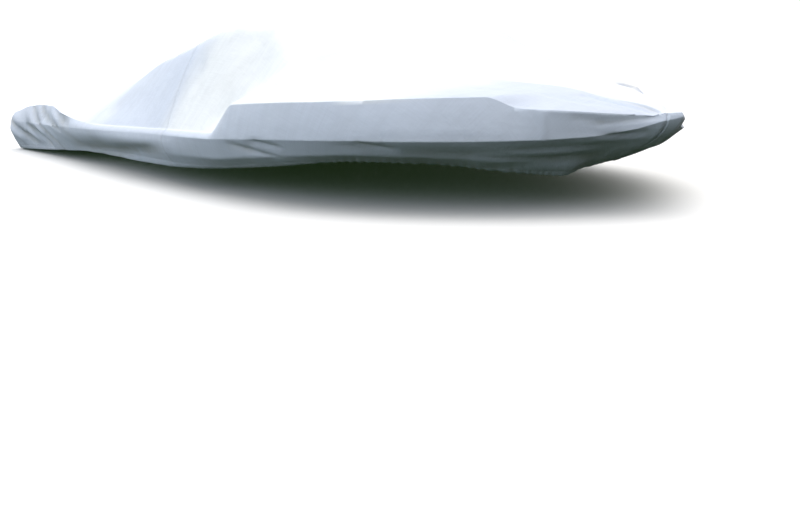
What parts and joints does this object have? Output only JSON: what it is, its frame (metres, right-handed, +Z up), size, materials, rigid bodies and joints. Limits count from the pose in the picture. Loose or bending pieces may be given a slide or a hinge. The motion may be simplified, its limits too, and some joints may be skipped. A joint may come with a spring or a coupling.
{
  "type": "boat cover",
  "caption": "Fitted, hollow cloth cover for a small open boat: draped skirt, raised windscreen hoop, side rails and pointed bow.",
  "frame": {"origin": "under the cloth at the middle of the windscreen hoop, the highest place, where the boat holds the cover up", "axes": "+X forward to the bow, +Y to port, +Z up"},
  "size_m": [5.0636, 2.2256, 0.7545],
  "materials": {
    "transom_panel_cloth": "matte",
    "aft_panel_cloth": "matte",
    "main_panel_cloth": "matte",
    "bow_panel_cloth": "matte"
  },
  "bodies": {
    "root": {"transom_panel": "transom_panel_cloth", "aft_panel": "aft_panel_cloth", "main_panel": "main_panel_cloth", "bow_panel": "bow_panel_cloth"}
  },
  "joints": []
}
